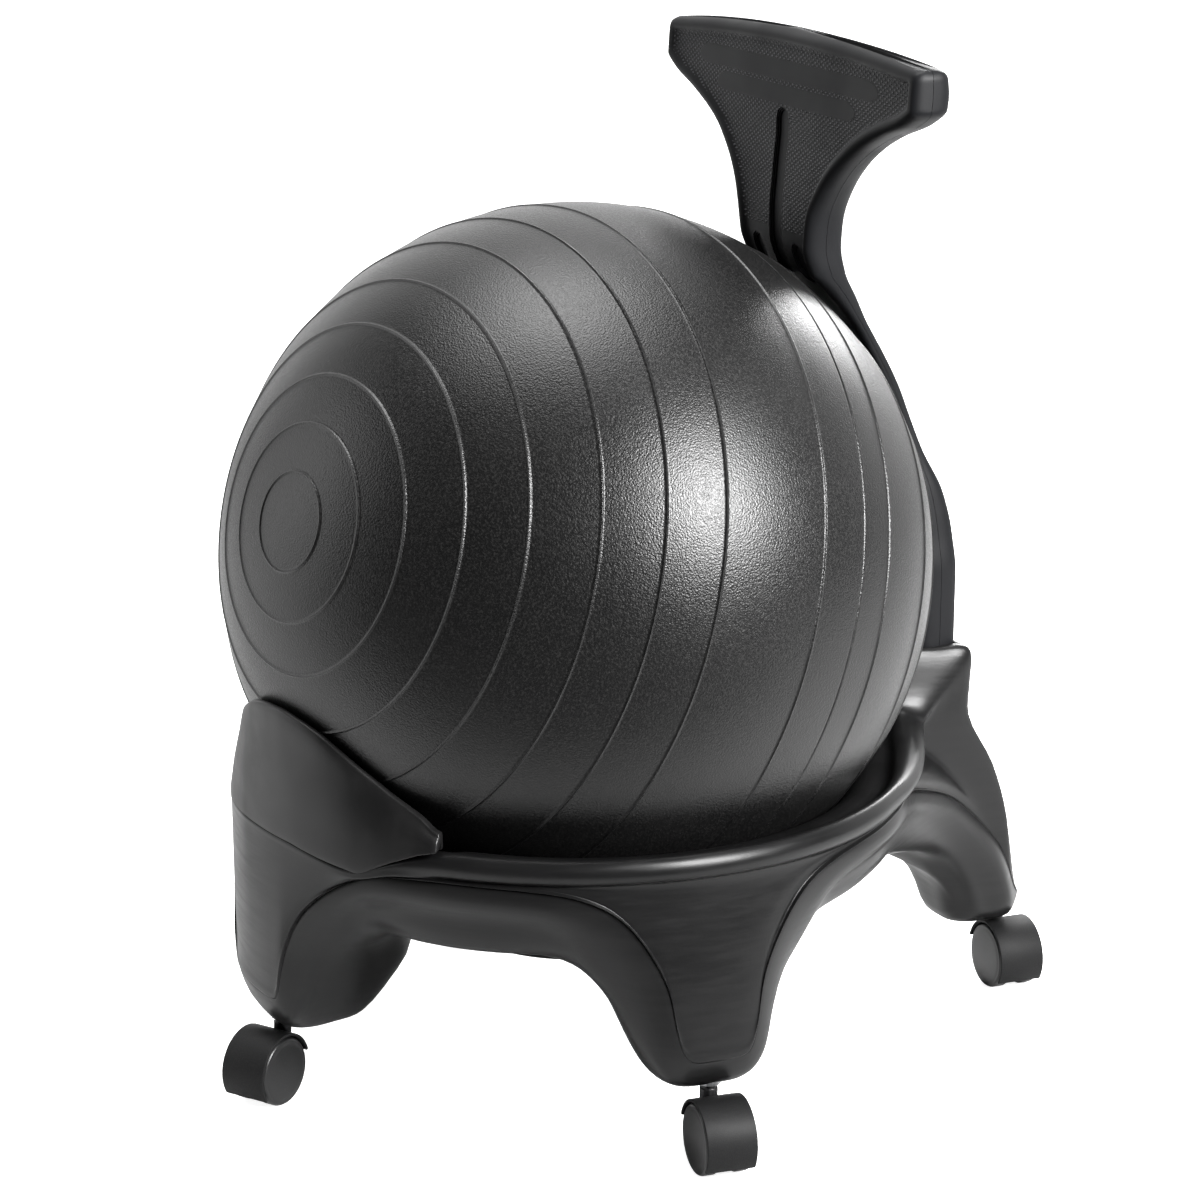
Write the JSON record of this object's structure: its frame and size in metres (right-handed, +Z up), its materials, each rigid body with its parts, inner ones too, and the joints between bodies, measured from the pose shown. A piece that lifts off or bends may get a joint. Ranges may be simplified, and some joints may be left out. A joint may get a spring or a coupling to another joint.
{
  "type": "balance ball chair",
  "caption": "Inflated exercise ball held in a moulded cradle base with legs on swivelling twin-wheel casters, a front pommel and a small backrest on a curved post.",
  "frame": {"origin": "on the floor, midway along the chair's bounding box in X and Y", "axes": "+Z up; the sitter faces -Y, and +Y points to the backrest"},
  "size_m": [0.5608, 0.6582, 0.749],
  "materials": {
    "base_plastic": "satin black high-density polyethylene with faint moulding streaks",
    "pommel_plastic": "satin black moulded cover, slightly darker than the base",
    "back_plastic": "matt blue-black polypropylene with a fine diamond texture on the front",
    "ball_vinyl": "charcoal satin vinyl with fine pebbled grain and thin raised rings",
    "caster_nylon": "fine-textured black nylon",
    "plug_nylon": "soft grey plug",
    "steel": "plain zinc-plated steel",
    "black_steel": "black oxide"
  },
  "bodies": {
    "base": {"base_body": "base_plastic", "front_pommel": "pommel_plastic", "backrest_front_shell": "back_plastic", "backrest_rear_shell": "back_plastic", "back_core_bar": "steel", "back_bolt_left": "black_steel", "back_bolt_right": "black_steel", "shell_screw_1": "black_steel", "shell_screw_2": "black_steel", "shell_screw_3": "black_steel", "shell_screw_4": "black_steel", "front_leg_sleeve": "steel", "front_grip_ring": "steel", "right_leg_sleeve": "steel", "right_grip_ring": "steel", "rear_leg_sleeve": "steel", "rear_grip_ring": "steel", "left_leg_sleeve": "steel", "left_grip_ring": "steel"},
    "ball": {"ball_skin": "ball_vinyl", "valve_plug": "plug_nylon"},
    "front_caster": {"front_caster_stem": "black_steel", "front_caster_hood": "caster_nylon", "front_caster_axle": "steel"},
    "front_wheel_left": {"front_caster_wheel_left": "caster_nylon"},
    "front_wheel_right": {"front_caster_wheel_right": "caster_nylon"},
    "right_caster": {"right_caster_stem": "black_steel", "right_caster_hood": "caster_nylon", "right_caster_axle": "steel"},
    "right_wheel_left": {"right_caster_wheel_left": "caster_nylon"},
    "right_wheel_right": {"right_caster_wheel_right": "caster_nylon"},
    "rear_caster": {"rear_caster_stem": "black_steel", "rear_caster_hood": "caster_nylon", "rear_caster_axle": "steel"},
    "rear_wheel_left": {"rear_caster_wheel_left": "caster_nylon"},
    "rear_wheel_right": {"rear_caster_wheel_right": "caster_nylon"},
    "left_caster": {"left_caster_stem": "black_steel", "left_caster_hood": "caster_nylon", "left_caster_axle": "steel"},
    "left_wheel_left": {"left_caster_wheel_left": "caster_nylon"},
    "left_wheel_right": {"left_caster_wheel_right": "caster_nylon"}
  },
  "joints": [
    {"name": "front_caster_swivel", "type": "hinge", "parent": "base", "child": "front_caster", "pos_m": [-0.0007, -0.27857, 0.0535], "axis": [0, 0, 1], "continuous": true},
    {"name": "front_wheel_left_spin", "type": "hinge", "parent": "front_caster", "child": "front_wheel_left", "pos_m": [0.01076, -0.29556, 0.025], "axis": [0.829, 0.5592, 0], "continuous": true},
    {"name": "front_wheel_right_spin", "type": "hinge", "parent": "front_caster", "child": "front_wheel_right", "pos_m": [0.01076, -0.29556, 0.025], "axis": [0.829, 0.5592, 0], "continuous": true},
    {"name": "right_caster_swivel", "type": "hinge", "parent": "base", "child": "right_caster", "pos_m": [0.2303, -0.04857, 0.0535], "axis": [0, 0, 1], "continuous": true},
    {"name": "right_wheel_left_spin", "type": "hinge", "parent": "right_caster", "child": "right_wheel_left", "pos_m": [0.25072, -0.05035, 0.025], "axis": [0.0872, 0.9962, 0], "continuous": true},
    {"name": "right_wheel_right_spin", "type": "hinge", "parent": "right_caster", "child": "right_wheel_right", "pos_m": [0.25072, -0.05035, 0.025], "axis": [0.0872, 0.9962, 0], "continuous": true},
    {"name": "rear_caster_swivel", "type": "hinge", "parent": "base", "child": "rear_caster", "pos_m": [-0.0007, 0.31043, 0.0535], "axis": [0, 0, 1], "continuous": true},
    {"name": "rear_wheel_left_spin", "type": "hinge", "parent": "rear_caster", "child": "rear_wheel_left", "pos_m": [0.01979, 0.30972, 0.025], "axis": [0.0349, 0.9994, 0], "continuous": true},
    {"name": "rear_wheel_right_spin", "type": "hinge", "parent": "rear_caster", "child": "rear_wheel_right", "pos_m": [0.01979, 0.30972, 0.025], "axis": [0.0349, 0.9994, 0], "continuous": true},
    {"name": "left_caster_swivel", "type": "hinge", "parent": "base", "child": "left_caster", "pos_m": [-0.2317, -0.04857, 0.0535], "axis": [0, 0, 1], "continuous": true},
    {"name": "left_wheel_left_spin", "type": "hinge", "parent": "left_caster", "child": "left_wheel_left", "pos_m": [-0.2522, -0.04857, 0.025], "axis": [0, -1, 0], "continuous": true},
    {"name": "left_wheel_right_spin", "type": "hinge", "parent": "left_caster", "child": "left_wheel_right", "pos_m": [-0.2522, -0.04857, 0.025], "axis": [0, -1, 0], "continuous": true},
    {"name": "ball_turn", "type": "hinge", "parent": "base", "child": "ball", "pos_m": [-0.0007, -0.04857, 0.3744], "axis": [0.2422, -0.9365, 0.2538], "continuous": true}
  ]
}
